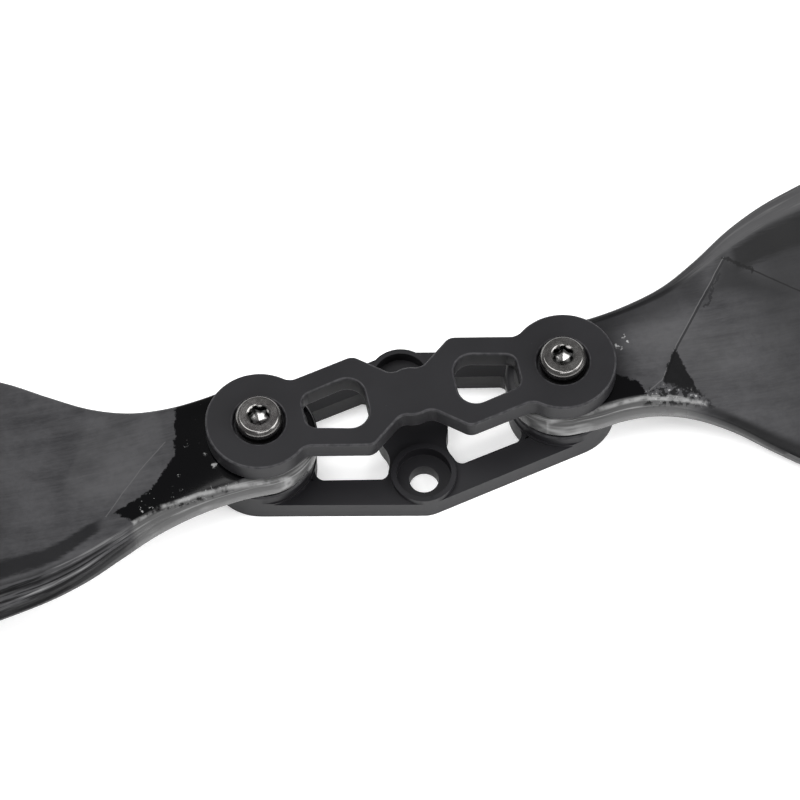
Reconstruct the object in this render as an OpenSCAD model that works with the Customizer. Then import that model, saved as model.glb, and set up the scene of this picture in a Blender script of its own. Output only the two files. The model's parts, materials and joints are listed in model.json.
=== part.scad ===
// Folding two-blade propeller: a flat hub base and a top clip hold two moulded carbon blades.
// Each blade swings on a sleeve round its pivot screw, in the plane of the hub.
// Frame: origin on the hub's bottom face at its centre, +X towards the right blade, +Z up.

/* [Hub] */
// Distance between the two blade pivots
pivot_gap = 33.5; // [33:0.5:35]
// Radius of the hub base's round ends and of the pads under the blade roots
base_end_r = 5.84; // [5.8:0.02:5.9]
// Thickness of the hub base plate
plate_t = 2.67; // [2.5:0.05:2.8]
// Height of the top of the pads under the blade roots
pad_top = 4.3; // [4:0.1:4.6]
// Radius of the low step at the foot of each pad
pad_foot_r = 6; // [5.95:0.01:6.05]
// Height of that step above the plate
pad_foot_h = 0.3; // [0.2:0.1:0.4]

/* [Motor mount] */
// Distance between the two mounting holes
mount_gap = 12; // [11.8:0.1:12.2]
// Radius of a mounting hole
mount_hole_r = 1.6; // [1.5:0.05:1.7]
// Radius of the counterbore for the mounting screw's head
mount_cbore_r = 3; // [2.8:0.1:3]
// Outer radius of the round boss about each mounting hole
boss_r = 3.54; // [3.5:0.02:3.6]
// Height of the boss's top
boss_top = 3.44; // [3.2:0.1:3.8]
// Height of the counterbore's floor
cbore_floor = 1.84; // [1.6:0.1:2]

/* [Top clip] */
// Height of the clip's top face
clip_top = 11.26; // [11.2:0.02:11.3]
// Thickness of the clip
clip_t = 2.57; // [2.5:0.01:2.6]
// Radius of the clip's round ends
clip_end_r = 5.81; // [5.7:0.05:5.9]
// Radius of the recess about each pivot screw's head
recess_r = 2.83; // [2.75:0.01:2.9]
// Depth of that recess
recess_d = 0.9; // [0.8:0.1:1]

/* [Pivots] */
// Radius of a pivot screw's head
head_r = 2.55; // [2.5:0.01:2.6]
// Height of the head's top above the clip
head_stand = 1.45; // [1.2:0.05:1.6]
// Radius of the screw's shank
shank_r = 1.5; // [1.45:0.01:1.5]
// Outer radius of the sleeve that a blade turns on
sleeve_r = 3; // [2.9:0.05:3]
// Running clearance between the sleeve and the blade's bush
running_gap = 0.04; // [0.02:0.01:0.08]
// Outer radius of the bush in a blade root
bush_r = 4.2; // [4:0.05:4.3]
// Outer radius of the thrust washers above and below a blade root
washer_r = 5.3; // [5:0.1:5.4]

/* [Blades] */
// Tip radius of a blade, from the hub's centre
tip_r = 279.5; // [278:0.5:281]
// Height of the middle of a blade root
root_mid = 6.9; // [6.88:0.01:6.92]
// Thickness of a blade root
root_t = 3.2; // [3.1:0.05:3.2]
// Radius of a blade's round root
root_r = 6.27; // [6.2:0.01:6.3]
// Wall of each blade skin over the thickest part of the foam core
skin_t = 0.7; // [0.6:0.05:0.8]

/* [Hidden] */
$fn = 96;

eps = 0.01;
pivot_x = pivot_gap / 2;
boss_y = mount_gap / 2;
clip_floor = clip_top - clip_t;
root_low = root_mid - root_t / 2;
root_high = root_mid + root_t / 2;
thread_gap = 0.02;
axial_gap = 0.05;

// ---- Plane geometry ----

function unit(v) = v / norm(v);
function left_of(v) = [-v[1], v[0]];
function mirrored(points, sx, sy) =
    [for (i = [len(points) - 1:-1:0]) [sx * points[i][0], sy * points[i][1], points[i][2]]];

// An outline of [x, y, corner radius] rows, counter-clockwise; its corners may turn either way.
function corner(c, i) =
    let (n = len(c), p = [c[i][0], c[i][1]], q = c[(i + n - 1) % n], s = c[(i + 1) % n],
         a = unit([q[0], q[1]] - p), b = unit([s[0], s[1]] - p),
         half = acos(a * b) / 2, r = c[i][2], reach = r / tan(half),
         convex = a[0] * b[1] - a[1] * b[0] < 0)
    [p + a * reach, p + b * reach, p + unit(a + b) * r / sin(half), r, convex];

module rounded_outline(c) {
    turns = [for (i = [0:len(c) - 1]) corner(c, i)];
    difference() {
        union() {
            polygon([for (t = turns) each [t[0], t[1]]]);
            for (t = turns) if (t[4] && t[3] > 0) translate(t[2]) circle(t[3]);
        }
        for (t = turns) if (!t[4] && t[3] > 0) translate(t[2]) circle(t[3]);
    }
}

// Fills the corner between a round of radius r about c and a straight edge from p along d.
// The open side is to the left of d, and the fillet's radius is f; side picks the corner's end.
// The fillet bites a little into both, so that no edge is only touched.
module corner_fill(c, r, p, d, f, side) {
    n = left_of(d);
    bite = 0.02;
    far = (p + n * (f - bite)) - c;
    along = -far * d + side * sqrt(pow(far * d, 2) - far * far + pow(r + f - bite, 2));
    q = c + far + d * along;
    difference() {
        polygon([c, q, q - n * (f + 0.5)]);
        translate(q) circle(f);
    }
}

module four_ways() {
    for (sx = [1, -1], sy = [1, -1]) scale([sx, sy]) children();
}

module at_pivot(side) {
    translate([side * pivot_x, 0, 0]) children();
}

// ---- Hub base ----

// Offset of a straight edge that touches the round end and the boss from outside
edge_turn = atan2(boss_y, pivot_x) - asin((base_end_r - boss_r) / norm([pivot_x, boss_y]));
edge_normal = [sin(edge_turn), cos(edge_turn)];

module base_outline() {
    for (s = [1, -1]) translate([s * pivot_x, 0]) circle(base_end_r);
    for (s = [1, -1]) translate([0, s * boss_y]) circle(boss_r);
    right_edge = [[pivot_x, 0] + edge_normal * base_end_r, [0, boss_y] + edge_normal * boss_r];
    four_ways() polygon([[0, 0], [pivot_x, 0], right_edge[0], right_edge[1], [0, boss_y]]);
}

web_r = 3.9;
web_waist = 3.2;
// Radius of the fillets that draw the web in between its round middle and the bosses
web_fillet = (pow(web_r, 2) - pow(boss_y / 2, 2) - pow(web_waist, 2)) / (2 * (web_waist - web_r));
rail_start = [web_r, 5.6];
rail_end = [pivot_x, 2.95];
rail_run = unit(rail_start - rail_end);
window_fillet = 1.2;

module web_outline() {
    fillet_at = [web_waist + web_fillet, boss_y / 2];
    circle(web_r);
    for (s = [1, -1]) translate([0, s * boss_y]) circle(web_r);
    difference() {
        for (s = [1, -1]) scale([1, s])
            polygon([[0, 0], fillet_at, [0, boss_y], [-fillet_at[0], fillet_at[1]]]);
        four_ways() translate(fillet_at) circle(web_fillet);
    }
}

module base_windows() {
    difference() {
        for (s = [1, -1]) scale([s, 1])
            polygon([rail_end, [0, rail_start[1] + 0.2 * web_r],
                     [0, -rail_start[1] - 0.2 * web_r], [rail_end[0], -rail_end[1]]]);
        web_outline();
        for (s = [1, -1]) translate([s * pivot_x, 0]) circle(pad_foot_r);
        four_ways() corner_fill([pivot_x, 0], pad_foot_r, rail_end, rail_run, window_fillet, 1);
        four_ways() corner_fill([0, boss_y], web_r, rail_end, rail_run, 1, -1);
    }
}

module hub_base() color([0.13, 0.13, 0.14]) {
    difference() {
        union() {
            linear_extrude(plate_t) difference() {
                base_outline();
                base_windows();
            }
            for (s = [1, -1]) at_pivot(s) {
                cylinder(r = base_end_r, h = pad_top - 0.2);
                translate([0, 0, pad_top - 0.2]) cylinder(r1 = base_end_r, r2 = base_end_r - 0.2, h = 0.2);
            }
            intersection() {
                for (s = [1, -1]) at_pivot(s) cylinder(r = pad_foot_r, h = plate_t + pad_foot_h);
                linear_extrude(boss_top) base_outline();
            }
            for (s = [1, -1]) translate([0, s * boss_y, 0]) cylinder(r = boss_r, h = boss_top);
        }
        for (s = [1, -1]) translate([0, s * boss_y, 0]) {
            translate([0, 0, -1]) cylinder(r = mount_hole_r, h = boss_top + 2);
            translate([0, 0, cbore_floor]) cylinder(r = mount_cbore_r, h = boss_top);
        }
        for (s = [1, -1]) at_pivot(s)
            translate([0, 0, -1]) cylinder(r = shank_r + thread_gap, h = pad_top + 2);
    }
}

// ---- Top clip ----

lobe_corner = [5.34, 5.61];
lobe_slope = -0.21;
lobe_root = [pivot_x, lobe_corner[1] + lobe_slope * (pivot_x - lobe_corner[0])];
waist_y = 2.75;
waist_x = 1.85;
neck_fillet = 1.8;
clip_window = [[4.93, -3.5, 2], [11.8, -1.9, 1.2], [11.8, 1.9, 1.2], [4.93, 3.5, 2]];

module clip_outline() {
    quarter = [[lobe_root[0], lobe_root[1], 0], [lobe_corner[0], lobe_corner[1], 1.4],
               [waist_x, waist_y, 1.5]];
    upper = concat(quarter, mirrored(quarter, -1, 1));
    rounded_outline(concat(upper, mirrored(upper, 1, -1)));
    circle(2.95);
    for (s = [1, -1]) translate([s * pivot_x, 0]) circle(clip_end_r);
    four_ways()
        corner_fill([pivot_x, 0], clip_end_r, lobe_corner, unit(lobe_root - lobe_corner), neck_fillet, -1);
}

module top_clip() color([0.15, 0.15, 0.16]) {
    difference() {
        translate([0, 0, clip_floor]) linear_extrude(clip_t) clip_outline();
        for (turn = [0, 180]) rotate(turn) linear_extrude(clip_top + 1) rounded_outline(clip_window);
        for (s = [1, -1]) at_pivot(s) {
            cylinder(r = shank_r + 0.1, h = clip_top + 1);
            translate([0, 0, clip_top - recess_d]) cylinder(r = recess_r, h = recess_d + 1);
        }
    }
}

// ---- Pivots ----

head_low = clip_top - recess_d;
head_top = clip_top + head_stand;
head_bevel = 0.5;
socket_r = 1.12;
socket_d = 1.1;
socket_lobe_r = 0.27;

module pivot_screw(side) color([0.42, 0.41, 0.4]) at_pivot(side) {
    difference() {
        union() {
            translate([0, 0, 0.4]) cylinder(r = shank_r, h = head_low);
            translate([0, 0, head_low]) cylinder(r = head_r, h = head_top - head_low - head_bevel);
            translate([0, 0, head_top - head_bevel])
                cylinder(r1 = head_r, r2 = head_r - 0.32, h = head_bevel);
        }
        translate([0, 0, head_top - socket_d]) {
            cylinder(r = socket_r - 0.15, h = 2);
            for (a = [0:60:300]) rotate(a) translate([socket_r - 0.15, 0, 0])
                cylinder(r = socket_lobe_r, h = 2);
        }
        translate([0, 0, head_top - socket_d - 0.5]) cylinder(r1 = 0.1, r2 = 0.8, h = 0.5 + eps);
    }
}

module ring(inner, outer, low, high) {
    translate([0, 0, low]) difference() {
        cylinder(r = outer, h = high - low);
        translate([0, 0, -1]) cylinder(r = inner, h = high - low + 2);
    }
}

module pivot_sleeve(side) color([0.6, 0.6, 0.62]) at_pivot(side)
    ring(shank_r + 0.1, sleeve_r, pad_top, clip_floor);

module lower_washer(side) color([0.12, 0.12, 0.12]) at_pivot(side)
    ring(sleeve_r + running_gap, washer_r, pad_top, root_low - axial_gap);

module upper_washer(side) color([0.12, 0.12, 0.12]) at_pivot(side)
    ring(sleeve_r + running_gap, washer_r, root_high + axial_gap, clip_floor);

// ---- Blades ----

// Radius at which the flat root meets the shaped blade, clear of the plate inside the root
root_end = pivot_x + 5.85;

// The right blade: radius from the hub's centre, the leading edge's y and z, the trailing edge's
// y and z, and the thickness. The left blade is the same blade, turned half a turn.
stations = [
    [root_end - 0.3, root_r - 0.07, root_mid, 0.07 - root_r, root_mid, root_t - 0.08],
    [root_end + 0.05, root_r - 0.07, root_mid, 0.07 - root_r, root_mid, root_t - 0.08],
    [24, 6.85, 6.95, -5.75, 6.5, root_t],
    [26, 7.3, 7.0, -5.75, 6.15, root_t],
    [30, 8.65, 7.15, -6.55, 5.1, root_t],
    [34, 10.8, 7.65, -8.5, 3.95, 3.1],
    [38, 13.2, 8.5, -11.45, 2.85, 3.0],
    [42, 15.0, 9.2, -14.4, 2.25, 2.9],
    [46, 16.2, 9.8, -16.6, 1.9, 2.8],
    [54, 17.8, 10.7, -19.4, 1.6, 2.7],
    [66, 18.8, 11.5, -21.2, 1.55, 2.6],
    [85, 18.6, 11.6, -21.0, 1.9, 2.5],
    [115, 16.6, 11.0, -18.6, 3.1, 2.3],
    [150, 14.0, 10.2, -15.6, 4.4, 2.0],
    [190, 11.2, 9.5, -12.4, 5.6, 1.7],
    [230, 8.4, 9.1, -9.4, 6.5, 1.35],
    [260, 5.6, 8.9, -7.0, 7.1, 1.05],
    [274, 2.6, 8.75, -5.4, 7.6, 0.8],
    [tip_r, -0.8, 8.5, -3.6, 8.1, 0.5]
];
LEAD_Y = 1;
LEAD_Z = 2;
TRAIL_Y = 3;
TRAIL_Z = 4;
THICK = 5;

// A smooth curve through the stations: cubics whose slopes are those of a parabola through three
function slope(i, k) =
    let (a = max(i - 1, 0), b = min(i + 1, len(stations) - 1),
         h0 = stations[i][0] - stations[a][0], h1 = stations[b][0] - stations[i][0])
    h0 == 0 || h1 == 0 ? (stations[b][k] - stations[a][k]) / (h0 + h1)
    : ((stations[i][k] - stations[a][k]) * h1 / h0 + (stations[b][k] - stations[i][k]) * h0 / h1)
      / (h0 + h1);
function span(x, i = 0) = i >= len(stations) - 2 || x <= stations[i + 1][0] ? i : span(x, i + 1);
function at_radius(x, k) =
    let (i = span(x), h = stations[i + 1][0] - stations[i][0], t = (x - stations[i][0]) / h)
    stations[i][k] * (1 + 2 * t) * pow(1 - t, 2) + stations[i + 1][k] * pow(t, 2) * (3 - 2 * t)
    + h * t * (1 - t) * (slope(i, k) * (1 - t) - slope(i + 1, k) * t);

function smooth_step(a, b, x) = let (t = min(1, max(0, (x - a) / (b - a)))) t * t * (3 - 2 * t);
function mix(a, b, t) = a + (b - a) * t;

// Half thickness, as a share of its largest, where s runs from the trailing edge at 0 to the
// leading edge at 1: a slab with rounded edges near the root, and an aerofoil further out.
function slab(s, power) = pow(max(0, 1 - pow(abs(2 * s - 1), power)), 1 / power);
function aerofoil(s) = let (c = 1 - s)
    10 * (0.2969 * sqrt(c) - 0.126 * c - 0.3516 * pow(c, 2) + 0.2843 * pow(c, 3) - 0.1036 * pow(c, 4));
function half_height(x, s, upper) =
    let (out = smooth_step(22, 44, x), foil = smooth_step(32, 90, x),
         root_power = upper ? (s > 0.5 ? 5 : 6) : 8,
         power = mix(root_power, s > 0.5 ? 3 : 11, out),
         blunt = 0.3 * slab(s, 20))
    at_radius(x, THICK) / 2 * mix(slab(s, power), max(aerofoil(s), blunt), foil);

// A point of the section at radius x: s along the chord, and a height above the cambered mean line
camber = 0.025;
glue = 0.02;
function section_point(x, s, height) =
    let (trail = [at_radius(x, TRAIL_Y), at_radius(x, TRAIL_Z)],
         chord = [at_radius(x, LEAD_Y), at_radius(x, LEAD_Z)] - trail,
         bow = camber * norm(chord) * 4 * s * (1 - s) * smooth_step(26, 90, x))
    concat([x], trail + chord * s + left_of(unit(chord)) * (bow + height));

chord_steps = 12;
core_from = 3;
core_to = 10;
function chord_place(k) = mix(k / chord_steps, (1 - cos(180 * k / chord_steps)) / 2, 0.75);

// Half thickness of the foam core, which fills the middle of the blade between the two skins
core_start = 40;
core_end = 215;
function core_height(x, k) =
    k <= core_from || k >= core_to || x < core_start || x > core_end ? 0
    : let (s = chord_place(k), low = chord_place(core_from), high = chord_place(core_to),
           dome = sqrt(1 - pow((2 * s - low - high) / (high - low), 2)),
           ends = mix(0.4, 1, smooth_step(core_start, core_start + 15, x)))
      (at_radius(x, THICK) / 2 - skin_t) * dome * ends;

radii = [root_end - 0.3, root_end + 0.05, 24, 26, 28.5, 31, 34, 37, core_start, 44, 48, 54, 62, 72, 85,
    100, 120, 140, 165, 190, core_end, 240, 260, 270, 276, tip_r];

module loft(sections) {
    n = len(sections[0]);
    last = (len(sections) - 1) * n;
    half = n / 2;
    cap = concat([for (j = [0:half - 2]) [j, j + 1, n - j - 1]],
                 [for (j = [1:half - 1]) [j, n - j - 1, n - j]]);
    polyhedron([for (s = sections) each s], concat(
        cap, [for (t = cap) [last + t[2], last + t[1], last + t[0]]],
        [for (i = [0:n:last - n], j = [0:n - 1]) each
            let (a = i + j, b = i + (j + 1) % n) [[a + n, b + n, b], [a + n, b, a]]]));
}

// One side of the flat root: a round end about the pivot, and a straight part out to root_end
module root_shape(upper) {
    bevel = upper ? 0.6 : 0.3;
    rise = (upper ? 1 : -1) * root_t / 2;
    edge = (upper ? 1 : -1) * bevel;
    at_pivot(1) translate([0, 0, root_mid]) {
        rotate_extrude()
            polygon([[0, 0], [root_r, 0], [root_r, rise - edge], [root_r - bevel, rise], [0, rise]]);
        rotate([90, 0, 90]) linear_extrude(root_end - pivot_x)
            polygon([[-root_r, 0], [root_r, 0], [root_r, rise - edge], [root_r - bevel, rise],
                     [bevel - root_r, rise], [-root_r, rise - edge]]);
    }
}

// The skin above or below the mean line, hollow where the foam core lies
module skin(upper) {
    difference() {
        root_shape(upper);
        root_block_shape(bed);
        at_pivot(1) cylinder(r = bush_r, h = 20);
    }
    loft([for (x = radii) concat(
        [for (k = [0:chord_steps]) section_point(x, chord_place(k),
            upper ? glue + core_height(x, k) : -glue - half_height(x, chord_place(k), false))],
        [for (k = [chord_steps - 1:-1:1]) section_point(x, chord_place(k),
            upper ? glue + half_height(x, chord_place(k), true) : -glue - core_height(x, k))])]);
}

module foam_core_shape() {
    loft([for (x = radii) if (x >= core_start && x <= core_end) concat(
        [for (k = [core_from:core_to]) section_point(x, chord_place(k), -core_height(x, k))],
        [for (k = [core_to - 1:-1:core_from + 1]) section_point(x, chord_place(k), core_height(x, k))])]);
}

// The flat stiffening plate inside a blade root, with its tongue towards the blade.
// Room is the gap left round it for the resin that beds it in.
block_low = 6;
block_high = 7.5;
block_r = 5.1;
tongue_half = 3.1;
tongue_end = pivot_x + 5.25;
bed = 0.1;
module root_block_shape(room) {
    translate([0, 0, block_low - room]) linear_extrude(block_high - block_low + 2 * room) {
        translate([pivot_x, 0]) circle(block_r + room);
        translate([pivot_x, -tongue_half - room])
            square([tongue_end - pivot_x + room, 2 * (tongue_half + room)]);
    }
}

module on_side(side) rotate(side > 0 ? 0 : 180) children();

module upper_skin(side) color([0.1, 0.1, 0.1]) on_side(side) skin(true);
module lower_skin(side) color([0.08, 0.08, 0.08]) on_side(side) skin(false);
module foam_core(side) color([0.85, 0.82, 0.7]) on_side(side) foam_core_shape();
module root_block(side) color([0.3, 0.3, 0.28]) on_side(side) difference() {
    root_block_shape(0);
    at_pivot(1) cylinder(r = bush_r + bed, h = 20);
}
module root_bush(side) color([0.7, 0.58, 0.3]) at_pivot(side)
    ring(sleeve_r + running_gap, bush_r, root_low, root_high);

hub_base();
top_clip();
pivot_screw(1);  // pivot_screw_right
pivot_sleeve(1);  // pivot_sleeve_right
lower_washer(1);  // lower_washer_right
upper_washer(1);  // upper_washer_right
pivot_screw(-1);  // pivot_screw_left
pivot_sleeve(-1);  // pivot_sleeve_left
lower_washer(-1);  // lower_washer_left
upper_washer(-1);  // upper_washer_left
upper_skin(1);  // upper_skin_right
lower_skin(1);  // lower_skin_right
foam_core(1);  // foam_core_right
root_block(1);  // root_block_right
root_bush(1);  // root_bush_right
upper_skin(-1);  // upper_skin_left
lower_skin(-1);  // lower_skin_left
foam_core(-1);  // foam_core_left
root_block(-1);  // root_block_left
root_bush(-1);  // root_bush_left
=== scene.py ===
"""The looks of a folding two-blade propeller: anodised hub, screw pivots, moulded carbon blades.

Everything is in metres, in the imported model's frame: +X towards the right blade, +Z up.
Shapes are worked out in millimetres and scaled once, when a mesh is made.
"""

import json
import math

import bmesh
import bpy
import numpy as np
from mathutils import Matrix, Vector

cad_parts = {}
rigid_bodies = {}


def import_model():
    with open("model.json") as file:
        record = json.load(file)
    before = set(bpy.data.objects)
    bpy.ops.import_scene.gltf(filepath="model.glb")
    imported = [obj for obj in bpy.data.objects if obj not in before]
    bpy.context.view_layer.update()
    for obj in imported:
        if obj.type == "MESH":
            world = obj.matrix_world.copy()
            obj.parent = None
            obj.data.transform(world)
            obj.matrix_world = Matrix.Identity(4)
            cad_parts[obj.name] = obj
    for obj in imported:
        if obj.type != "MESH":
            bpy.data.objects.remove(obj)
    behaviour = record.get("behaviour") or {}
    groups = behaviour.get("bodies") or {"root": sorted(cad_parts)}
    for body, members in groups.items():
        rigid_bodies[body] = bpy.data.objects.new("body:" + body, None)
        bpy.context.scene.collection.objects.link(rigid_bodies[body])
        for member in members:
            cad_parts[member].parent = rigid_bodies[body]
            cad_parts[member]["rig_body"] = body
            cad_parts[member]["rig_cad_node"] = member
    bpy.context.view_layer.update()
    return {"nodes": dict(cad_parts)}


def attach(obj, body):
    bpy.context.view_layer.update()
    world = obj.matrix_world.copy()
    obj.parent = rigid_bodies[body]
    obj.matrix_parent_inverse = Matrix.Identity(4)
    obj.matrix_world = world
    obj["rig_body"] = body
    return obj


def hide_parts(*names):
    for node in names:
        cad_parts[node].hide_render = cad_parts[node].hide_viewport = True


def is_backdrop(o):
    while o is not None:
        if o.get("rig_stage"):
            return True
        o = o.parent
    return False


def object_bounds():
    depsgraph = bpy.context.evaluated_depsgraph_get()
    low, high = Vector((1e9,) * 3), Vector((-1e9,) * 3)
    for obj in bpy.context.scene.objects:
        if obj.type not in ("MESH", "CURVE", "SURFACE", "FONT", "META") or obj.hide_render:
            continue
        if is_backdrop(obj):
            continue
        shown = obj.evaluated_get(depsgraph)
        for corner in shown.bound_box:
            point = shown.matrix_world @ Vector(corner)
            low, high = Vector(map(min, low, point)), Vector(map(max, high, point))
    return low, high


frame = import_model()

MM = 0.001

# Millimetres
PIVOT_X = 16.75
BUSH_R = 4.2
CLIP_TOP = 11.26
RECESS_DEPTH = 0.9
HEAD_TOP = CLIP_TOP + 1.45

SIDES = (1, -1)
HAND = {1: "right", -1: "left"}


# ---- Camera ----

AZIMUTH, ELEVATION, ROLL = -10.746, 61.808, -1.614
CAMERA_BACK, CAMERA_LEFT, CAMERA_UP = 634.639, 1.368, 4.318
FOCAL_LENGTH, SENSOR_WIDTH = 261, 36


def camera():
    """A long lens aimed near the hub's middle, from in front and above."""
    azimuth, elevation, roll = (math.radians(a) for a in (AZIMUTH, ELEVATION, ROLL))
    back = Vector((math.sin(azimuth) * math.cos(elevation),
                   -math.cos(azimuth) * math.cos(elevation),
                   math.sin(elevation)))
    side = (-back).cross(Vector((0, 0, 1))).normalized()
    up = side.cross(-back)
    x_axis = math.cos(roll) * side + math.sin(roll) * up
    y_axis = -math.sin(roll) * side + math.cos(roll) * up
    place = (back * CAMERA_BACK - x_axis * CAMERA_LEFT + y_axis * CAMERA_UP) * MM
    data = bpy.data.cameras.new("camera")
    data.lens = FOCAL_LENGTH
    data.sensor_width = SENSOR_WIDTH
    data.clip_start = 0.05
    data.clip_end = 20
    ob = bpy.data.objects.new("camera", data)
    ob.matrix_world = Matrix((
        (x_axis.x, y_axis.x, back.x, place.x),
        (x_axis.y, y_axis.y, back.y, place.y),
        (x_axis.z, y_axis.z, back.z, place.z),
        (0, 0, 0, 1)))
    bpy.context.scene.collection.objects.link(ob)
    bpy.context.scene.camera = ob


# ---- Meshes ----

def make(name, vertices, faces, material, scale=MM):
    """A smooth mesh object. Its vertices are in millimetres, unless another scale is given."""
    mesh = bpy.data.meshes.new(name)
    mesh.from_pydata([tuple(c * scale for c in v) for v in vertices], [], faces)
    mesh.validate()
    mesh.update()
    ob = bpy.data.objects.new(name, mesh)
    bpy.context.scene.collection.objects.link(ob)
    mesh.materials.append(material)
    mesh.polygons.foreach_set("use_smooth", [True] * len(mesh.polygons))
    return ob


def apply_modifiers(ob):
    """Puts the evaluated mesh in place of the modifiers."""
    graph = bpy.context.evaluated_depsgraph_get()
    mesh = bpy.data.meshes.new_from_object(ob.evaluated_get(graph))
    old = ob.data
    ob.modifiers.clear()
    ob.data = mesh
    bpy.data.meshes.remove(old)


def smooth_by_angle(ob, degrees):
    """Smooth faces, with sharp edges above the angle."""
    bm = bmesh.new()
    bm.from_mesh(ob.data)
    limit = math.radians(degrees)
    for f in bm.faces:
        f.smooth = True
    for e in bm.edges:
        e.smooth = e.is_manifold and e.calc_face_angle(0) < limit
    bm.to_mesh(ob.data)
    bm.free()


WELD = 2e-6
FLAT_ANGLE = 0.4
BEVEL_SEGMENTS = 3
BEVEL_ANGLE = 40
SMOOTH_ANGLE = 35
# A face belongs to a broken edge when its normal's height lies between these two.
STEEPEST, FLATTEST = 0.1, 0.985


def bevelled_node(name, node, width, material):
    """A copy of a CAD node with its flat faces made whole and its edges broken.

    The face attribute "edge" is one on the broken edges.
    """
    ob = frame["nodes"][node].copy()
    ob.data = ob.data.copy()
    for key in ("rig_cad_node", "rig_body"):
        if key in ob:
            del ob[key]
    ob.parent = None
    ob.matrix_world = Matrix.Identity(4)
    ob.name = name
    ob.data.name = name
    bpy.context.scene.collection.objects.link(ob)
    bm = bmesh.new()
    bm.from_mesh(ob.data)
    bmesh.ops.remove_doubles(bm, verts=bm.verts, dist=WELD)
    bmesh.ops.dissolve_degenerate(bm, edges=bm.edges, dist=WELD)
    bmesh.ops.dissolve_limit(bm, angle_limit=math.radians(FLAT_ANGLE), verts=bm.verts, edges=bm.edges)
    bm.to_mesh(ob.data)
    bm.free()
    bevel = ob.modifiers.new("edges", "BEVEL")
    bevel.width = width * MM
    bevel.segments = BEVEL_SEGMENTS
    bevel.limit_method = "ANGLE"
    bevel.angle_limit = math.radians(BEVEL_ANGLE)
    bevel.use_clamp_overlap = True
    apply_modifiers(ob)
    ob.data.materials.clear()
    ob.data.materials.append(material)
    smooth_by_angle(ob, SMOOTH_ANGLE)
    flat = ob.modifiers.new("flat", "WEIGHTED_NORMAL")
    flat.keep_sharp = True
    flat.weight = 100
    apply_modifiers(ob)
    sloping = [1.0 if STEEPEST < abs(f.normal.z) < FLATTEST else 0.0 for f in ob.data.polygons]
    ob.data.attributes.new("edge", "FLOAT", "FACE").data.foreach_set("value", sloping)
    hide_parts(node)
    return ob


# ---- Materials ----

class Nodes:
    """Short names for building a material's node tree."""

    def __init__(self, name):
        self.material = bpy.data.materials.new(name)
        self.material.use_nodes = True
        self.tree = self.material.node_tree
        self.shader = self.tree.nodes["Principled BSDF"]
        self.where = self.tree.nodes.new("ShaderNodeTexCoord").outputs["Object"]
        self.axes = None

    def wire(self, value, socket):
        """Links a socket, or sets a plain value."""
        if hasattr(value, "links"):
            self.tree.links.new(value, socket)
        else:
            socket.default_value = value

    def math(self, kind, a, b=0.0, c=0.0):
        n = self.tree.nodes.new("ShaderNodeMath")
        n.operation = kind
        for value, socket in zip((a, b, c), n.inputs):
            self.wire(value, socket)
        return n.outputs[0]

    def axis(self, i):
        """One object coordinate, in metres."""
        if self.axes is None:
            n = self.tree.nodes.new("ShaderNodeSeparateXYZ")
            self.wire(self.where, n.inputs[0])
            self.axes = n.outputs
        return self.axes[i]

    def attribute(self, name):
        n = self.tree.nodes.new("ShaderNodeAttribute")
        n.attribute_name = name
        return n.outputs["Fac"]

    def mapped(self, scale, turn=0.0, shift=(0, 0, 0)):
        """Object coordinates, scaled, turned about Z and moved."""
        n = self.tree.nodes.new("ShaderNodeMapping")
        self.wire(self.where, n.inputs["Vector"])
        n.inputs["Scale"].default_value = scale
        n.inputs["Rotation"].default_value = (0, 0, turn)
        n.inputs["Location"].default_value = shift
        return n.outputs[0]

    def noise(self, scale, detail, roughness=0.5, vector=None):
        n = self.tree.nodes.new("ShaderNodeTexNoise")
        self.wire(self.where if vector is None else vector, n.inputs["Vector"])
        n.inputs["Scale"].default_value = scale
        n.inputs["Detail"].default_value = detail
        n.inputs["Roughness"].default_value = roughness
        return n.outputs["Fac"]

    def voronoi(self, scale):
        n = self.tree.nodes.new("ShaderNodeTexVoronoi")
        self.wire(self.where, n.inputs["Vector"])
        n.inputs["Scale"].default_value = scale
        return n.outputs["Distance"]

    def step(self, value, low, high, out_low=0.0, out_high=1.0):
        """Eases from out_low at low to out_high at high. low may be the greater of the two."""
        n = self.tree.nodes.new("ShaderNodeMapRange")
        n.interpolation_type = "SMOOTHSTEP"
        for v, name in ((value, "Value"), (low, "From Min"), (high, "From Max"),
                        (out_low, "To Min"), (out_high, "To Max")):
            self.wire(v, n.inputs[name])
        return n.outputs["Result"]

    def mix(self, share, a, b):
        """Colour a, going over to b as share goes from zero to one."""
        n = self.tree.nodes.new("ShaderNodeMix")
        n.data_type = "RGBA"
        factor, colour_a, colour_b = n.inputs[0], n.inputs[6], n.inputs[7]
        self.wire(share, factor)
        self.wire(self.rgba(a), colour_a)
        self.wire(self.rgba(b), colour_b)
        return n.outputs[2]

    def rgba(self, c):
        return c if hasattr(c, "links") or len(c) == 4 else (*c, 1.0)

    def bump(self, height, strength, distance):
        n = self.tree.nodes.new("ShaderNodeBump")
        n.inputs["Strength"].default_value = strength
        n.inputs["Distance"].default_value = distance
        self.wire(height, n.inputs["Height"])
        return n.outputs["Normal"]

    def finish(self, colour, metallic, roughness, normal=None, specular=0.5):
        """Feeds the shader and gives the material."""
        s = self.shader.inputs
        self.wire(self.rgba(colour), s["Base Color"])
        s["Metallic"].default_value = metallic
        self.wire(roughness, s["Roughness"])
        s["Specular IOR Level"].default_value = specular
        if normal is not None:
            self.wire(normal, s["Normal"])
        return self.material


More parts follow.
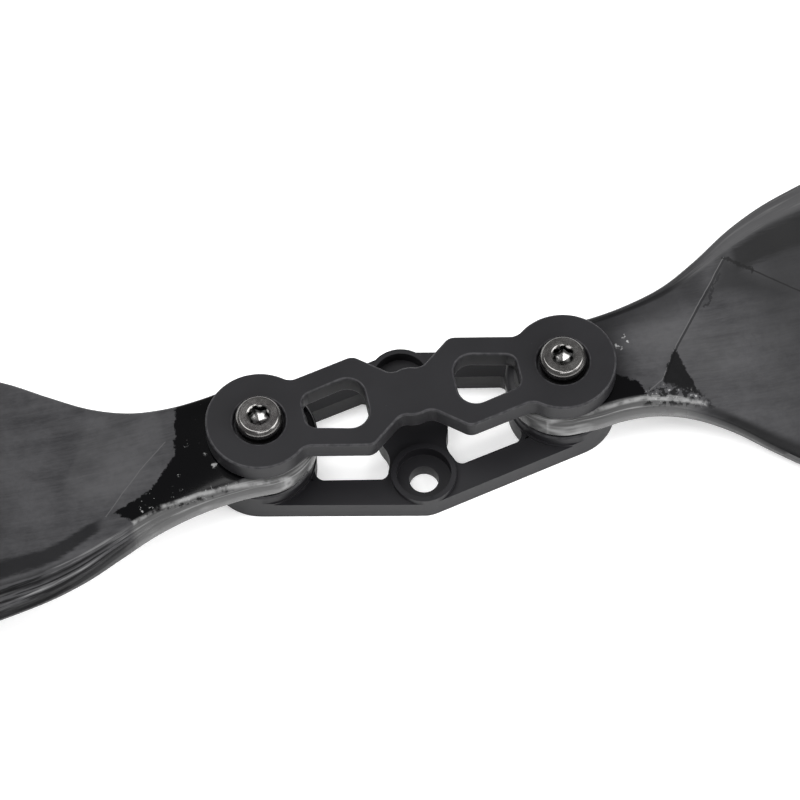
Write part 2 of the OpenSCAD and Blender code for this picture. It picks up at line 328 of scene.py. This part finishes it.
def anodised():
    """Satin black anodising: fine grain, faint cloudiness, broken edges painted paler as edge wear and as a
    painted highlight, and specks of dust.
    """
    n = Nodes("anodised_black")
    grain = n.noise(9000, 2)
    cloud = n.noise(90, 4)
    dust = n.step(n.voronoi(900), 0.045, 0.02)
    sparse = n.step(n.noise(260, 1), 0.62, 0.7)
    speck = n.math("MULTIPLY", dust, sparse)
    base = n.mix(n.step(cloud, 0.3, 0.7), (0.006, 0.0058, 0.007), (0.0092, 0.009, 0.0105))
    # Broken edges painted paler: partly edge wear, partly a painted highlight where the chamfers catch the
    # light.
    edge_wear_and_highlight = n.math("MULTIPLY", n.attribute("edge"), n.step(n.noise(1800, 4), 0.35, 0.65, 0.35, 1.0))
    base = n.mix(edge_wear_and_highlight, base, (0.032, 0.0315, 0.034))
    colour = n.mix(speck, base, (0.16, 0.16, 0.16))
    rough = n.math("ADD", n.step(cloud, 0.3, 0.7, 0.42, 0.48), n.math("MULTIPLY", grain, 0.06))
    return n.finish(colour, 0.0, rough, n.bump(grain, 0.14, 0.00002), 0.2)


# Painted shade for a socket's walls and a painted highlight for its floor.
SOCKET_PAINTED_SHADE = (0.012, 0.012, 0.012)
SOCKET_FLOOR_HIGHLIGHT = (0.3, 0.295, 0.29)


def turned_metal(name, dark, light, roughness, centre, socket_top=None):
    """Turned metal, with fine rings about its own axis at x = centre.

    Given the height of a screw's top, its socket's walls get painted shade and its floor a painted highlight.
    """
    n = Nodes(name)
    dx = n.math("SUBTRACT", n.axis(0), centre * MM)
    squares = n.math("ADD", n.math("POWER", dx, 2.0), n.math("POWER", n.axis(1), 2.0))
    radius = n.math("SQRT", squares)
    rings = n.tree.nodes.new("ShaderNodeTexNoise")
    rings.noise_dimensions = "1D"
    n.wire(n.math("MULTIPLY", radius, 9000.0), rings.inputs["W"])
    rings.inputs["Scale"].default_value = 1.0
    rings.inputs["Detail"].default_value = 2.0
    wear = n.noise(900, 4, 0.6)
    colour = n.mix(n.step(wear, 0.35, 0.7), dark, light)
    if socket_top is not None:
        inside = n.step(radius, 1.25 * MM, 1.15 * MM)
        # Painted shade down the socket's walls, then a painted highlight on its floor.
        for start, end, tint in ((0.08, 0.16, SOCKET_PAINTED_SHADE), (1.03, 1.12, SOCKET_FLOOR_HIGHLIGHT)):
            deep = n.step(n.axis(2), (socket_top - start) * MM, (socket_top - end) * MM)
            colour = n.mix(n.math("MULTIPLY", inside, deep), colour, tint)
    rough = n.math("ADD", n.math("MULTIPLY", rings.outputs["Fac"], 0.06),
                   n.step(wear, 0.3, 0.7, roughness, roughness + 0.05))
    return n.finish(colour, 1.0, rough, n.bump(rings.outputs["Fac"], 0.12, 0.00001))


def plain(name, dark, light, roughness, scale=600, bump=0.1):
    """A matt material, cloudy between two colours, with a fine grain."""
    n = Nodes(name)
    cloud = n.noise(scale, 4)
    fine = n.noise(scale * 9, 2)
    colour = n.mix(n.step(cloud, 0.3, 0.7), dark, light)
    rough = n.step(cloud, 0.3, 0.7, roughness, roughness + 0.1)
    return n.finish(colour, 0.0, rough, n.bump(fine, bump, 0.00002))


# ---- Screws ----

SCREW_TURNS = 96
SHANK_R = 1.5
LOBES = 6
LOBE_DEPTH = 0.1
# Radius, and depth below the top of the head: the rounded rim, the flat ring and the socket's mouth
HEAD_PROFILE = (
    (2.55, 0.66), (2.53, 0.54), (2.48, 0.42), (2.41, 0.31), (2.31, 0.19), (2.22, 0.1),
    (2.14, 0.03), (2.08, 0), (2.04, 0), (1.36, 0), (1.32, 0), (1.24, 0.05))


def screw(side):
    """A pivot screw: a pan head with a rounded rim, a flat top and a six-lobed socket, and a shank."""
    low, top = CLIP_TOP - RECESS_DEPTH, HEAD_TOP

    def lobed(mid, share=LOBE_DEPTH):
        return lambda a: mid * (1 + share * math.cos(LOBES * a))

    def circle(r):
        return lambda a: r

    rings = [(circle(0.02), 0.4), (circle(1.2), 0.4), (circle(SHANK_R), 0.7), (circle(SHANK_R), low),
             (circle(2.42), low), (circle(2.53), low + 0.08), (circle(2.55), low + 0.2)]
    rings += [(circle(r), top - drop) for r, drop in HEAD_PROFILE]
    rings += [(lobed(1.17, 0.015), top - 0.1), (lobed(1.09), top - 0.14), (lobed(1.08), top - 0.96),
              (lobed(1.0), top - 1.0), (circle(0.62), top - 1.1), (circle(0.06), top - 1.4)]
    turns = SCREW_TURNS
    vertices, faces = [], []
    for radius, z in rings:
        for k in range(turns):
            a = 2 * math.pi * k / turns
            r = radius(a)
            turned = a + 0.3 * side
            vertices.append((side * PIVOT_X + r * math.cos(turned), r * math.sin(turned), z))
    for i in range(len(rings) - 1):
        for k in range(turns):
            a, b = i * turns + k, i * turns + (k + 1) % turns
            faces.append((a, b, b + turns, a + turns))
    faces.append(tuple(reversed(range(turns))))
    faces.append(tuple((len(rings) - 1) * turns + k for k in range(turns)))
    name = HAND[side]
    ob = make("screw_" + name, vertices, faces, screw_metal[side])
    smooth_by_angle(ob, 32)
    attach(ob, "hub")
    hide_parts("pivot_screw_" + name)
    return ob


# ---- Blades ----

TIP_R = 279.5
ROOT_R = 6.27
ROOT_MID = 6.9
ROOT_T = 3.2
CAMBER = 0.025
MEAN_GAP = 0.008

# Radius, leading edge y and z, trailing edge y and z, thickness. From 26 mm on they are the CAD's
# stations. The three before that differ a little from the CAD.
STATIONS = np.array([
    (16.75, 6.27, 6.9, -6.27, 6.9, 3.2),
    (19.5, 6.27, 6.9, -6.2, 6.9, 3.2),
    (22, 6.5, 6.9, -5.85, 6.78, 3.2),
    (26, 7.3, 7.0, -5.75, 6.15, 3.2),
    (30, 8.65, 7.15, -6.55, 5.1, 3.2),
    (34, 10.8, 7.65, -8.5, 3.95, 3.1),
    (38, 13.2, 8.5, -11.45, 2.85, 3.0),
    (42, 15.0, 9.2, -14.4, 2.25, 2.9),
    (46, 16.2, 9.8, -16.6, 1.9, 2.8),
    (54, 17.8, 10.7, -19.4, 1.6, 2.7),
    (66, 18.8, 11.5, -21.2, 1.55, 2.6),
    (85, 18.6, 11.6, -21.0, 1.9, 2.5),
    (115, 16.6, 11.0, -18.6, 3.1, 2.3),
    (150, 14.0, 10.2, -15.6, 4.4, 2.0),
    (190, 11.2, 9.5, -12.4, 5.6, 1.7),
    (230, 8.4, 9.1, -9.4, 6.5, 1.35),
    (260, 5.6, 8.9, -7.0, 7.1, 1.05),
    (274, 2.6, 8.75, -5.4, 7.6, 0.8),
    (279.5, -0.8, 8.5, -3.6, 8.1, 0.5)])


def station(x, k):
    """Column k of the stations at radius x, on a smooth curve through them."""
    s = STATIONS
    i = int(min(max(np.searchsorted(s[:, 0], x) - 1, 0), len(s) - 2))

    def slope(j):
        a, b = max(j - 1, 0), min(j + 1, len(s) - 1)
        h0, h1 = s[j, 0] - s[a, 0], s[b, 0] - s[j, 0]
        if h0 == 0 or h1 == 0:
            return (s[b, k] - s[a, k]) / (h0 + h1)
        return ((s[j, k] - s[a, k]) * h1 / h0 + (s[b, k] - s[j, k]) * h0 / h1) / (h0 + h1)

    h = s[i + 1, 0] - s[i, 0]
    t = (x - s[i, 0]) / h
    return (s[i, k] * (1 + 2 * t) * (1 - t) ** 2 + s[i + 1, k] * t ** 2 * (3 - 2 * t)
            + h * t * (1 - t) * (slope(i) * (1 - t) - slope(i + 1) * t))


def smooth_step(a, b, x):
    t = min(1.0, max(0.0, (x - a) / (b - a)))
    return t * t * (3 - 2 * t)


def mix(a, b, t):
    return a + (b - a) * t


def slab(s, power):
    """A rounded slab's half height at the share s of the chord."""
    return max(0.0, 1 - abs(2 * s - 1) ** power) ** (1 / power)


def aerofoil(s):
    """An aerofoil's half height, with its round nose at s = 1."""
    c = 1 - s
    return 10 * (0.2969 * math.sqrt(c) - 0.126 * c - 0.3516 * c ** 2 + 0.2843 * c ** 3 - 0.1036 * c ** 4)


def half_height(x, s, upper, thickness):
    """A slab at the root, an aerofoil further out."""
    out, foil = smooth_step(22, 44, x), smooth_step(32, 90, x)
    root_power = (5 if s > 0.5 else 6) if upper else 8
    power = mix(root_power, 3 if s > 0.5 else 11, out)
    blunt = 0.3 * slab(s, 20)
    return thickness / 2 * mix(slab(s, power), max(aerofoil(s), blunt), foil)


def root_height(x, s, half, upper):
    """The round end keeps the root's edge profile all the way round."""
    y = (2 * s - 1) * half
    r = math.hypot(x - PIVOT_X, y) / ROOT_R
    power = 5 if upper else 8
    return ROOT_T / 2 * max(0.0, 1 - min(r, 1.0) ** power) ** (1 / power)


def camber(x, s, length):
    """How far the mean line rises over a chord of this length."""
    return CAMBER * length * 4 * s * (1 - s) * smooth_step(26, 90, x)


CHORD = 72
PLACES = [mix(k / CHORD, (1 - math.cos(math.pi * k / CHORD)) / 2, 0.8) for k in range(CHORD + 1)]


def section(x, upper):
    """The outside of one skin at radius x, as points from the trailing edge to the leading edge."""
    if x < PIVOT_X:
        half = math.sqrt(max(ROOT_R ** 2 - (x - PIVOT_X) ** 2, 0.0))
        lead, trail = (half, ROOT_MID), (-half, ROOT_MID)
        heights = [root_height(x, s, half, upper) for s in PLACES]
    else:
        lead, trail = (station(x, 1), station(x, 2)), (station(x, 3), station(x, 4))
        thickness = station(x, 5)
        heights = [half_height(x, s, upper, thickness) for s in PLACES]
    chord = np.array(lead) - np.array(trail)
    length = float(np.hypot(*chord))
    up = np.array((-chord[1], chord[0])) / max(length, 1e-9)
    points = []
    for s, height in zip(PLACES, heights):
        at = np.array(trail) + chord * s + up * (camber(x, s, length) + (height if upper else -height))
        points.append((x, at[0], at[1]))
    return points


def radii():
    """Where the sections are taken: closest together around the root's end and at the tip."""
    r = [PIVOT_X - ROOT_R * math.cos(math.radians(a)) for a in np.linspace(2, 88, 30)]
    r += list(np.arange(PIVOT_X, 60, 0.5))
    r += list(np.arange(60, 110, 1.25))
    r += list(np.arange(110, 262, 4))
    r += list(np.arange(262, 276, 1)) + list(np.linspace(276, TIP_R, 8))
    return r


def blade(side, upper):
    """One skin of one blade, closed along the mean line, and bored for the pivot bush."""
    rows = radii()
    gap = MEAN_GAP if upper else -MEAN_GAP
    vertices, faces = [], []
    for x in rows:
        outer = section(x, upper)
        trail, lead = np.array(outer[0]), np.array(outer[-1])
        length = float(np.hypot(*(lead - trail)[1:]))
        inner = []
        for s in PLACES[1:-1]:
            p = trail + (lead - trail) * s
            inner.append((x, p[1], p[2] + camber(x, s, length) + gap))
        vertices += outer + inner[::-1]
    n = 2 * CHORD
    for i in range(len(rows) - 1):
        for j in range(n):
            a, b = i * n + j, i * n + (j + 1) % n
            faces.append((a, b, b + n, a + n))
    faces.append(tuple(reversed(range(n))))
    faces.append(tuple((len(rows) - 1) * n + j for j in range(n)))
    if not upper:
        faces = [tuple(reversed(f)) for f in faces]
    name = ("upper" if upper else "lower") + "_skin_" + HAND[side]
    ob = make("carbon_" + name, vertices, faces, carbon[side])
    row = PLACES + PLACES[1:-1][::-1]
    ob.data.attributes.new("chord", "FLOAT", "POINT").data.foreach_set("value", row * len(rows))
    bm = bmesh.new()
    bm.from_mesh(ob.data)
    bmesh.ops.recalc_face_normals(bm, faces=bm.faces)
    bm.to_mesh(ob.data)
    bm.free()
    cutter = bore_cutter(PIVOT_X, BUSH_R, 0, 20)
    cut = ob.modifiers.new("bore", "BOOLEAN")
    cut.operation = "DIFFERENCE"
    cut.object = cutter
    cut.solver = "EXACT"
    apply_modifiers(ob)
    bpy.data.objects.remove(cutter)
    if side < 0:
        ob.data.transform(Matrix.Rotation(math.pi, 4, "Z"))
    smooth_by_angle(ob, 40)
    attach(ob, "blade_right" if side > 0 else "blade_left")
    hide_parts(name)
    return ob


def bore_cutter(x, radius, low, high):
    """An upright cylinder."""
    turns = 128
    angles = [2 * math.pi * k / turns for k in range(turns)]
    vertices = [(x + radius * math.cos(a), radius * math.sin(a), z) for z in (low, high) for a in angles]
    faces = [(k, (k + 1) % turns, (k + 1) % turns + turns, k + turns) for k in range(turns)]
    faces += [tuple(reversed(range(turns))), tuple(range(turns, 2 * turns))]
    return make("cutter", vertices, faces, spare)


# ---- Stage ----

FLOOR_HALF = 3
FLOOR_DROP = 0.00002
FLOOR_GLOW = 0.3
WORLD_LIGHT = 0.35


def stage():
    """A pale floor with a little light of its own, a white world and three soft lamps."""
    n = Nodes("pale_floor")
    grain = n.noise(40, 3)
    n.finish(n.mix(grain, (0.9, 0.9, 0.9), (0.93, 0.93, 0.93)), 0.0, 0.85, specular=0.2)
    n.shader.inputs["Emission Color"].default_value = (1, 1, 1, 1)
    n.shader.inputs["Emission Strength"].default_value = FLOOR_GLOW
    corners = [(x * FLOOR_HALF, y * FLOOR_HALF, 0) for x, y in ((-1, -1), (1, -1), (1, 1), (-1, 1))]
    floor = make("floor", corners, [(0, 1, 2, 3)], n.material, scale=1)
    floor.location.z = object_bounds()[0][2] - FLOOR_DROP
    floor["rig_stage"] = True
    world = bpy.data.worlds.new("studio")
    world.use_nodes = True
    world.node_tree.nodes["Background"].inputs[0].default_value = (1, 1, 1, 1)
    world.node_tree.nodes["Background"].inputs[1].default_value = WORLD_LIGHT
    bpy.context.scene.world = world
    bpy.context.scene.view_settings.view_transform = "Standard"

    def lamp(name, place, size, power):
        data = bpy.data.lights.new(name, "AREA")
        data.shape = "RECTANGLE"
        data.size, data.size_y = size
        data.energy = power
        ob = bpy.data.objects.new(name, data)
        ob.location = place
        ob.rotation_euler = (-Vector(place)).to_track_quat("-Z", "Y").to_euler()
        bpy.context.scene.collection.objects.link(ob)

    lamp("key", (-0.4, 0.1, 1.1), (0.9, 0.9), 15)
    lamp("fill", (0.9, -0.3, 0.75), (0.9, 0.7), 13)
    lamp("front", (0.1, -0.95, 0.8), (1.0, 0.22), 6)


class Plies(Nodes):
    """Masks drawn in a blade's own millimetres: x out along the blade, y towards the leading edge."""

    def __init__(self, name, side):
        super().__init__(name)
        self.x = self.math("MULTIPLY", self.axis(0), side * 1000.0)
        self.y = self.math("MULTIPLY", self.axis(1), side * 1000.0)
        self.chord = self.attribute("chord")
        self.near_root = self.step(self.x, 80, 50)
        self.torn = self.fray(0.5, 1900)
        self.wavy = self.fray(0.1, 500)
        self.along = self.noise(1.0, 5, 0.65, self.mapped((500, 4200, 900)))
        self.bias = self.noise(1.0, 5, 0.65, self.mapped((700, 3600, 300), math.radians(-52)))
        self.edge_line = self.edge_streaks(0.1, 70.0)
        self.colour = self.rough = None

    def paint(self, mask, tint, share=1.0):
        self.colour = self.mix(self.math("MULTIPLY", mask, share), self.colour, tint)

    def shine(self, mask, value):
        """Brings the roughness to a value where the mask is one."""
        kept = self.math("MULTIPLY", self.rough, self.math("SUBTRACT", 1.0, mask))
        self.rough = self.math("ADD", kept, self.math("MULTIPLY", mask, value))

    def fray(self, amount, scale):
        """The same coordinates, pushed about by a fine noise."""
        a = self.noise(scale, 3, 0.6)
        b = self.noise(scale, 3, 0.6, self.mapped((1, 1, 1), shift=(0.03, 0.05, 0)))
        push = [self.math("MULTIPLY_ADD", v, 2.0 * amount, -amount) for v in (a, b)]
        return self.math("ADD", self.x, push[0]), self.math("ADD", self.y, push[1])

    def edge_streaks(self, along, across):
        """Noise drawn out along the blade's edges."""
        n = self.tree.nodes.new("ShaderNodeCombineXYZ")
        self.wire(self.math("MULTIPLY", self.x, along), n.inputs[0])
        self.wire(self.math("MULTIPLY", self.chord, across), n.inputs[1])
        return self.noise(1.0, 3.0, 0.6, n.outputs[0])

    def side_of(self, p, q, at=None):
        """How far left of the line from p to q."""
        x, y = at or (self.x, self.y)
        length = math.hypot(q[0] - p[0], q[1] - p[1])
        nx, ny = (p[1] - q[1]) / length, (q[0] - p[0]) / length
        offset = -(nx * p[0] + ny * p[1])
        return self.math("MULTIPLY_ADD", x, nx, self.math("MULTIPLY_ADD", y, ny, offset))

    def combine(self, kind, values):
        out = values[0]
        for v in values[1:]:
            out = self.math(kind, out, v)
        return out

    def both(self, *masks):
        return self.combine("MULTIPLY", masks)

    def patch(self, points, soft, at=None):
        """Inside of a convex outline, counter-clockwise."""
        edges = [self.side_of(p, q, at) for p, q in zip(points, points[1:] + points[:1])]
        return self.step(self.combine("MINIMUM", edges), -soft, soft)

    def spot(self, centre, radius, core=0.0, at=None):
        """A round spot that fades from its core outwards."""
        x, y = at or (self.x, self.y)
        dx, dy = self.math("SUBTRACT", x, centre[0]), self.math("SUBTRACT", y, centre[1])
        squares = self.math("ADD", self.math("MULTIPLY", dx, dx), self.math("MULTIPLY", dy, dy))
        return self.step(self.math("SQRT", squares), radius, radius * core)

    def spots(self, rows, at):
        return self.combine("MAXIMUM", [self.spot((x, y), r, 0.5, at) for x, y, r in rows])

    def stroke(self, points, width, at, core=0.5):
        """A line through the points, whose core is fully painted."""
        parts = []
        for p, q in zip(points, points[1:]):
            across = self.math("ABSOLUTE", self.side_of(p, q, at))
            normal = (p[1] - q[1], q[0] - p[0])
            start = self.side_of(p, (p[0] + normal[0], p[1] + normal[1]), at)
            end = self.side_of((q[0] + normal[0], q[1] + normal[1]), q, at)
            past = self.math("MAXIMUM", start, end)
            parts.append(self.math("MAXIMUM", across, past))
        return self.step(self.combine("MINIMUM", parts), width / 2, width / 2 * core)

    def within(self, value, low, high, soft):
        """One between low and high, with soft ends."""
        return self.both(self.step(value, low - soft, low + soft), self.step(value, high + soft, high - soft))


BLACK, DARK = (0.0012, 0.0012, 0.0015), (0.007, 0.007, 0.0078)
PALE, BRIGHT = (0.075, 0.0745, 0.076), (0.4, 0.4, 0.4)
LINE_GREY = (0.2, 0.2, 0.2)


def right_marks(n):
    """Paints the right blade's plies and its painted sheen, shade and highlights, and gives the masks that
    both blades finish in the same way.
    """
    # Painted sheen and shade: paler spots where the light's reflection falls near the root; painted shade
    # darkening the blade outward, towards the leading edge by the root, and next to the clip.
    n.paint(n.spot((28.3, 2.2), 4.6), PALE, 0.26)
    n.paint(n.spot((32.6, -0.5), 6.5), PALE, 0.32)
    n.paint(n.both(n.step(n.x, 34, 43), n.step(n.chord, 0.35, 0.7)), DARK, 0.75)
    n.paint(n.both(n.step(n.x, 34, 43), n.step(n.chord, 0.7, 0.35)), DARK, 0.4)
    n.paint(n.both(n.step(n.chord, 0.66, 0.86), n.step(n.x, 36, 33)), DARK, 0.6)
    n.paint(n.step(n.x, 25.4, 22.5), DARK, 0.6)
    lead_edge_highlight = n.step(n.chord, 0.905, 0.93)
    shore = n.math("ADD", n.chord, n.math("MULTIPLY", n.math("SUBTRACT", n.along, 0.5), 0.05))
    n.paint(n.both(n.within(shore, 0.8, 0.905, 0.018), n.step(n.x, 37.4, 38.6), n.near_root), BLACK, 0.8)
    n.paint(n.patch([(34.6, 6.4), (42, 4.8), (37.05, 10.2)], 1.1), DARK, 0.8)
    # The leading-edge strip is painted paler, with pale streaks by the root, as a painted highlight.
    n.paint(n.both(lead_edge_highlight, n.step(n.x, 27, 40)), PALE, 0.5)
    n.paint(n.both(lead_edge_highlight, n.step(n.edge_line, 0.5, 0.7), n.near_root), (0.12, 0.12, 0.12), 0.4)
    n.paint(n.both(n.within(n.chord, 0.915, 0.955, 0.01), n.step(n.x, 34, 30)), BLACK, 0.7)
    seam = [(37.05, 9.93), (32.64, 4.7), (29.65, 1.08), (27.2, -2.78), (25.4, -3.9)]
    n.paint(n.stroke([(x + 0.16, y - 0.1) for x, y in seam[:4]], 0.3, n.wavy), DARK, 0.75)
    n.paint(n.stroke(seam, 0.12, n.wavy), PALE, 0.9)
    n.paint(n.stroke([(37.02, 9.93), (39.82, 7.79)], 0.42, n.torn), BLACK, 0.85)
    n.paint(n.stroke([(39.82, 7.79), (44.08, 4.5), (52, -2)], 0.2, n.wavy), BLACK, 0.8)
    n.paint(n.stroke([(36.2, 8.2), (35.1, 6.9), (34.5, 5.4), (33.6, 4.9)], 0.3, n.torn), DARK, 0.75)
    n.paint(n.patch([(29.45, 0.9), (27.1, -2.9), (30.9, -4.9)], 0.12, n.torn), BLACK, 0.95)
    gloss = n.patch([(10, -1.2), (10, -7), (25.4, -5.2), (24.6, -2.6), (22.3, -1.25)], 0.12, n.torn)
    beads = n.spots([(24.15, 3.1, 0.36), (24.5, 2.3, 0.26), (23.3, 2.0, 0.36), (22.8, 2.5, 0.2),
                     (23.6, 1.6, 0.16)], n.torn)
    ragged = n.patch([(24.6, -5.3), (32.2, -6.4), (31, -4.6), (27.5, -3.2), (25.2, -3.6)], 0.3, n.torn)
    # The band along the near (trailing) edge by the root gets a painted reflection of the floor.
    near_edge_reflection = n.both(n.step(n.chord, 0.13, 0.1), n.step(n.x, 32, 28))
    # The rim along the near edge further out gets painted shade, where the edge curves down.
    rim = n.both(n.step(n.chord, 0.09, 0.04), n.step(n.x, 29, 34), n.near_root)
    # A raised resin line along the near edge; its pale paint is a painted highlight.
    line = n.stroke([(14, -5.3), (18.5, -5.3), (22, -4.85), (24.6, -4.6), (28.6, -5.2), (31.2, -5.9)],
                    0.75, n.wavy, 0.1)
    return gloss, beads, ragged, near_edge_reflection, rim, line


def left_marks(n):
    """The same for the left blade."""
    # Painted sheen: a paler spot and patch near the root where the light's reflection falls, and painted
    # shade darkening the blade outward.
    n.paint(n.spot((33.5, 0.5), 7.5), PALE, 0.12)
    n.paint(n.patch([(27, -7), (34.3, -7), (38.9, 1.9), (35.3, 5.3), (26.9, -1.4)], 0.3), PALE, 0.12)
    n.paint(n.step(n.x, 38, 50), DARK, 0.2)
    shore = n.math("SUBTRACT", n.chord, n.step(n.x, 35.5, 42, 0.0, 0.045))
    shore = n.math("ADD", shore, n.math("MULTIPLY", n.math("SUBTRACT", n.bias, 0.5), 0.035))
    n.paint(n.both(n.within(shore, 0.765, 0.835, 0.012), n.step(n.x, 34.8, 36.5)), DARK, 0.9)
    n.paint(n.both(n.step(n.chord, 0.875, 0.89), n.step(n.x, 31, 33)), PALE, 0.1)
    # Light and dark streaks along the near edge are painted reflections.
    near_edge_reflection_streak = n.both(n.step(n.chord, 0.885, 0.92), n.step(n.x, 31.5, 34), n.near_root)
    n.paint(n.both(near_edge_reflection_streak, n.step(n.edge_line, 0.54, 0.66)), LINE_GREY, 0.6)
    n.paint(n.both(near_edge_reflection_streak, n.step(n.edge_line, 0.5, 0.42)), BLACK, 0.9)
    n.paint(n.both(n.within(n.chord, 0.925, 0.94, 0.008), n.step(n.x, 33, 36), n.near_root), BLACK, 0.85)
    seam = [(34.9, 6.3), (32.94, 4.13), (30.21, 1.26), (26.93, -1.42)]
    n.paint(n.stroke(seam, 0.14, n.wavy), PALE, 0.75)
    edge = [(25.1, -5), (26.3, 0.5), (29.6, 4.1), (33.8, 5.9)]
    torn_side = n.combine("MAXIMUM", [n.side_of(p, q, n.torn) for p, q in zip(edge, edge[1:])])
    inside = n.combine("MINIMUM", [n.side_of((33.0, 8.1), (20, 5.1)),
                                   n.side_of((34.2, 5.7), (32.0, 7.9), n.torn)])
    gloss = n.step(n.combine("MINIMUM", [torn_side, inside]), -0.12, 0.12)
    beads = n.spots([(24.8, -0.4, 0.3), (23, 1.2, 0.26), (22.35, 2.8, 0.4), (26.2, 3.1, 0.16),
                     (26.3, 4.95, 0.18), (31.1, 6.1, 0.14)], n.torn)
    ragged = n.patch([(20, 5.2), (25, 5.1), (31, 6.1), (33, 7.8), (25, 6.6), (20, 6.2)], 0.2, n.torn)
    # The band along the near (leading) edge by the root gets a painted reflection of the floor.
    near_edge_reflection = n.both(n.step(n.chord, 0.9, 0.93), n.step(n.x, 32.8, 31.8))
    # The rim along the near edge further out gets painted shade, where the edge curves down.
    rim = n.both(n.step(n.chord, 0.975, 0.99), n.step(n.x, 31, 34), n.near_root)
    # A raised resin line along the near edge; its pale paint is a painted highlight.
    line = n.stroke([(14, 6.0), (20, 5.7), (24.5, 5.85), (29, 6.5), (32.0, 7.7)], 0.75, n.wavy, 0.1)
    return gloss, beads, ragged, near_edge_reflection, rim, line


def carbon_material(side):
    """Unidirectional and bias plies under a thin resin coat, with ply edges, resin-rich spots and beads, plus
    painted sheen, shade, reflections, highlights and glints.
    """
    n = Plies("carbon_" + HAND[side], side)
    cloud = n.noise(170, 5, 0.6)
    mottle = n.noise(1500, 3, 0.6)
    streaks = n.math("MULTIPLY_ADD", n.along, 0.5, n.math("MULTIPLY", n.bias, 0.5))
    span = n.noise(1.0, 4, 0.6, n.mapped((14, 620, 200)))
    n.colour = n.mix(n.step(cloud, 0.3, 0.7), (0.019, 0.0188, 0.0205), (0.044, 0.0435, 0.046))
    n.colour = n.mix(n.step(streaks, 0.36, 0.66, 0.0, 0.34), n.colour, (0.058, 0.0575, 0.06))
    n.colour = n.mix(n.step(mottle, 0.3, 0.62, 0.22, 0.0), n.colour, (0.016, 0.016, 0.017))
    n.colour = n.mix(n.step(span, 0.35, 0.7, 0.0, 0.28), n.colour, (0.062, 0.0615, 0.064))
    n.rough = n.step(cloud, 0.3, 0.7, 0.34, 0.44)
    marks = right_marks if side > 0 else left_marks
    gloss, beads, ragged, near_edge_reflection, rim, line = marks(n)
    n.paint(gloss, BLACK)
    n.shine(gloss, 0.14)
    # Painted reflection of the floor along the near edge by the root, pale and streaked.
    n.paint(near_edge_reflection, (0.065, 0.065, 0.065), 0.85)
    n.shine(near_edge_reflection, 0.24)
    n.paint(n.both(near_edge_reflection, n.step(n.edge_line, 0.5, 0.66)), LINE_GREY, 0.6)
    # Painted shade along the near edge, where it curves down.
    n.paint(rim, BLACK, 0.85)
    n.paint(n.both(ragged, n.step(mottle, 0.52, 0.44)), BLACK, 0.9)
    # The pale flecks in the ragged zone are painted glints.
    n.paint(n.both(ragged, n.step(mottle, 0.62, 0.7)), BRIGHT, 0.5)
    # Painted glints on the glossy zone.
    gloss_glint = n.both(n.step(n.noise(3200, 2), 0.7, 0.75), n.step(n.noise(420, 2), 0.54, 0.62))
    n.paint(n.both(gloss, gloss_glint), BRIGHT, 0.5)
    n.paint(n.both(beads, n.step(mottle, 0.44, 0.56)), BRIGHT, 0.6)
    # The raised resin line along the near edge, painted pale as a highlight.
    broken = n.both(line, n.step(n.noise(900, 4), 0.3, 0.6))
    n.paint(broken, (0.25, 0.25, 0.25), 0.7)
    n.shine(broken, 0.2)
    raised = n.math("MULTIPLY", n.math("ADD", broken, beads), 1.2)
    relief = n.math("ADD", n.math("MULTIPLY", streaks, 0.35), raised)
    return n.finish(n.colour, 0.0, n.rough, n.bump(relief, 0.2, 0.00004), 0.14)


camera()
stage()
hub_black = anodised()
screw_metal = {s: turned_metal("screw_" + HAND[s], (0.12, 0.116, 0.113), (0.16, 0.156, 0.152),
                               0.16, s * PIVOT_X, HEAD_TOP) for s in SIDES}
sleeve_metal = {s: turned_metal("sleeve_" + HAND[s], (0.5, 0.5, 0.5), (0.65, 0.65, 0.65),
                                0.2, s * PIVOT_X) for s in SIDES}
bush_metal = {s: turned_metal("bush_" + HAND[s], (0.55, 0.4, 0.18), (0.68, 0.52, 0.26),
                              0.25, s * PIVOT_X) for s in SIDES}
washer_black = plain("washer_black", (0.01, 0.01, 0.01), (0.018, 0.018, 0.018), 0.55)
root_plate = plain("root_plate", (0.08, 0.085, 0.07), (0.13, 0.13, 0.11), 0.5)
foam = plain("foam", (0.62, 0.58, 0.44), (0.75, 0.71, 0.56), 0.85, 900, 0.5)
spare = plain("spare", (0.5, 0.5, 0.5), (0.5, 0.5, 0.5), 0.5)
carbon = {s: carbon_material(s) for s in SIDES}

for name, node, width in (("hub_plate", "hub_base", 0.2), ("clip_plate", "top_clip", 0.28)):
    piece = bevelled_node(name, node, width, hub_black)
    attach(piece, "hub")

for side in SIDES:
    screw(side)
    for upper in (True, False):
        blade(side, upper)
    for node, material in (("pivot_sleeve_", sleeve_metal[side]), ("lower_washer_", washer_black),
                           ("upper_washer_", washer_black), ("foam_core_", foam), ("root_block_", root_plate),
                           ("root_bush_", bush_metal[side])):
        data = frame["nodes"][node + HAND[side]].data
        data.materials.clear()
        data.materials.append(material)
